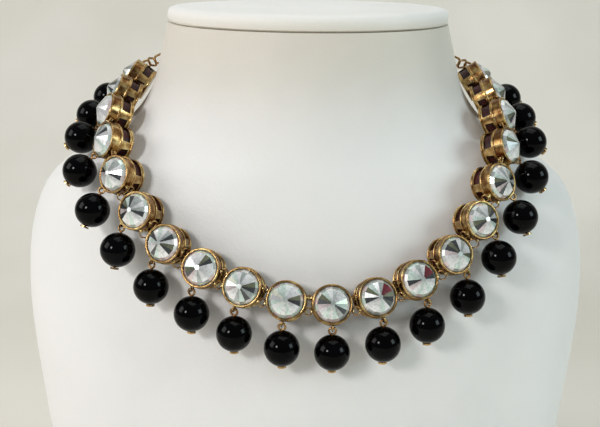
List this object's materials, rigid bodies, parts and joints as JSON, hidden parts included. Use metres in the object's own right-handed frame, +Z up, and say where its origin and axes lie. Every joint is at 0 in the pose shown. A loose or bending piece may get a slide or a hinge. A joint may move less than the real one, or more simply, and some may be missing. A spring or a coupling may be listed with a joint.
{
  "type": "kundan necklace on a neck bust",
  "caption": "Crystal-set collar necklace: round gold cups with pointed clear stones, joined by small rings, each with a hanging black bead, worn by a plain white neck bust.",
  "frame": {"origin": "middle of the bust's flat base, on the surface that it stands on", "axes": "+Z up the neck, the front of the necklace towards -Y, the wearer's left side towards +X"},
  "size_m": [0.1944, 0.1088, 0.2111],
  "materials": {
    "gold": "polished antique gold plate",
    "crystal": "clear, foil-backed facets",
    "lac": "dull wine-brown resin",
    "black_bead": "polished",
    "leatherette": "satin, fine grain"
  },
  "bodies": {
    "root": {"neck_bust": "leatherette", "neck_cap": "leatherette", "crystal_stones": "crystal", "lac_fillings": "lac", "head_pins": "gold", "cup_links": "gold", "chain_left": "gold", "chain_right": "gold", "clasp": "gold", "setting_01": "gold", "setting_02": "gold", "setting_03": "gold", "setting_04": "gold", "setting_05": "gold", "setting_06": "gold", "setting_07": "gold", "setting_08": "gold", "setting_09": "gold", "setting_10": "gold", "setting_11": "gold", "setting_12": "gold", "setting_13": "gold", "setting_14": "gold", "setting_15": "gold", "setting_16": "gold", "setting_17": "gold", "setting_18": "gold", "setting_19": "gold", "setting_20": "gold", "bead_01": "black_bead", "bead_02": "black_bead", "bead_03": "black_bead", "bead_04": "black_bead", "bead_05": "black_bead", "bead_06": "black_bead", "bead_07": "black_bead", "bead_08": "black_bead", "bead_09": "black_bead", "bead_10": "black_bead", "bead_11": "black_bead", "bead_12": "black_bead", "bead_13": "black_bead", "bead_14": "black_bead", "bead_15": "black_bead", "bead_16": "black_bead", "bead_17": "black_bead", "bead_18": "black_bead", "bead_19": "black_bead", "bead_20": "black_bead"}
  },
  "joints": []
}
